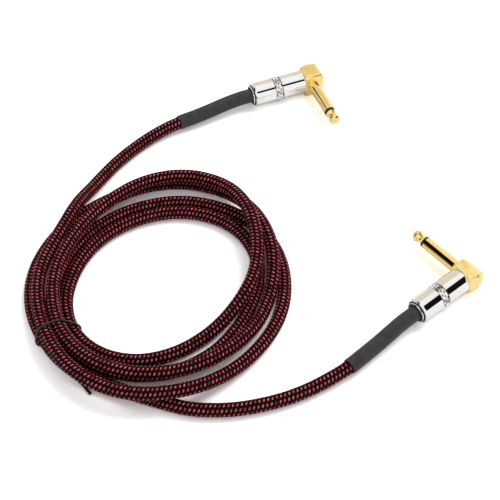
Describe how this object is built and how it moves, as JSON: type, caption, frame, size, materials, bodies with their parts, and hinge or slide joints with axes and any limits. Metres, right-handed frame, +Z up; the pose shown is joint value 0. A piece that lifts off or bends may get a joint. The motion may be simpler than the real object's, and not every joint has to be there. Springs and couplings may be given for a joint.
{
  "type": "instrument cable",
  "caption": "Coiled braided instrument cable with a right-angle mono phone plug on each end, its screw barrels and heat-shrink boots, held by a twist tie.",
  "frame": {"origin": "on the table, below the middle of the box round the two plugs with their boots", "axes": "+Z up from the table the cable lies on; +X and +Y in the table, so that the coil lies towards -X and plug A towards +Y"},
  "size_m": [0.2246, 0.2299, 0.019],
  "materials": {
    "gold_plate": "polished",
    "chrome_plate": "polished",
    "black_plastic": "satin",
    "natural_plastic": "satin",
    "tinned_metal": "satin",
    "bare_copper": "satin",
    "solder": "satin",
    "braided_cord": "matte",
    "heat_shrink": "matte",
    "tie_plastic": "satin"
  },
  "bodies": {
    "cable": {"elbow_a": "gold_plate", "plug_sleeve_a": "gold_plate", "tip_contact_a": "gold_plate", "tip_insulator_a": "black_plastic", "shaft_liner_a": "natural_plastic", "rod_bush_a": "natural_plastic", "tip_lug_a": "tinned_metal", "ground_clamp_a": "tinned_metal", "core_insulation_a": "natural_plastic", "centre_conductor_a": "bare_copper", "shield_pigtail_a": "bare_copper", "solder_joints_a": "solder", "cord_end_a": "braided_cord", "strain_boot_a": "heat_shrink", "cord_lead_a": "braided_cord", "elbow_b": "gold_plate", "plug_sleeve_b": "gold_plate", "tip_contact_b": "gold_plate", "tip_insulator_b": "black_plastic", "shaft_liner_b": "natural_plastic", "rod_bush_b": "natural_plastic", "tip_lug_b": "tinned_metal", "ground_clamp_b": "tinned_metal", "core_insulation_b": "natural_plastic", "centre_conductor_b": "bare_copper", "shield_pigtail_b": "bare_copper", "solder_joints_b": "solder", "cord_end_b": "braided_cord", "strain_boot_b": "heat_shrink", "cord_lead_b": "braided_cord", "cord_coil": "braided_cord", "twist_tie": "tie_plastic"},
    "liner_a": {"barrel_liner_a": "black_plastic"},
    "barrel_a": {"barrel_a": "chrome_plate"},
    "liner_b": {"barrel_liner_b": "black_plastic"},
    "barrel_b": {"barrel_b": "chrome_plate"}
  },
  "joints": [
    {"name": "barrel_a_travel", "type": "slide", "parent": "cable", "child": "liner_a", "axis": [-0.9298, -0.3681, 0], "range_m": [0, 0.005]},
    {"name": "barrel_a_turn", "type": "hinge", "parent": "liner_a", "child": "barrel_a", "pos_m": [-0.02054, 0.08733, 0.00675], "axis": [-0.9298, -0.3681, 0], "range_deg": [0, 1800]},
    {"name": "barrel_b_travel", "type": "slide", "parent": "cable", "child": "liner_b", "axis": [-0.7615, -0.6481, 0], "range_m": [0, 0.005]},
    {"name": "barrel_b_turn", "type": "hinge", "parent": "liner_b", "child": "barrel_b", "pos_m": [0.0556, -0.05889, 0.00675], "axis": [-0.7615, -0.6481, 0], "range_deg": [0, 1800]}
  ],
  "couplings": [
    {"joint": "barrel_a_turn", "follows": "barrel_a_travel", "rad_per_m": 6283.2},
    {"joint": "barrel_b_turn", "follows": "barrel_b_travel", "rad_per_m": 6283.2}
  ]
}
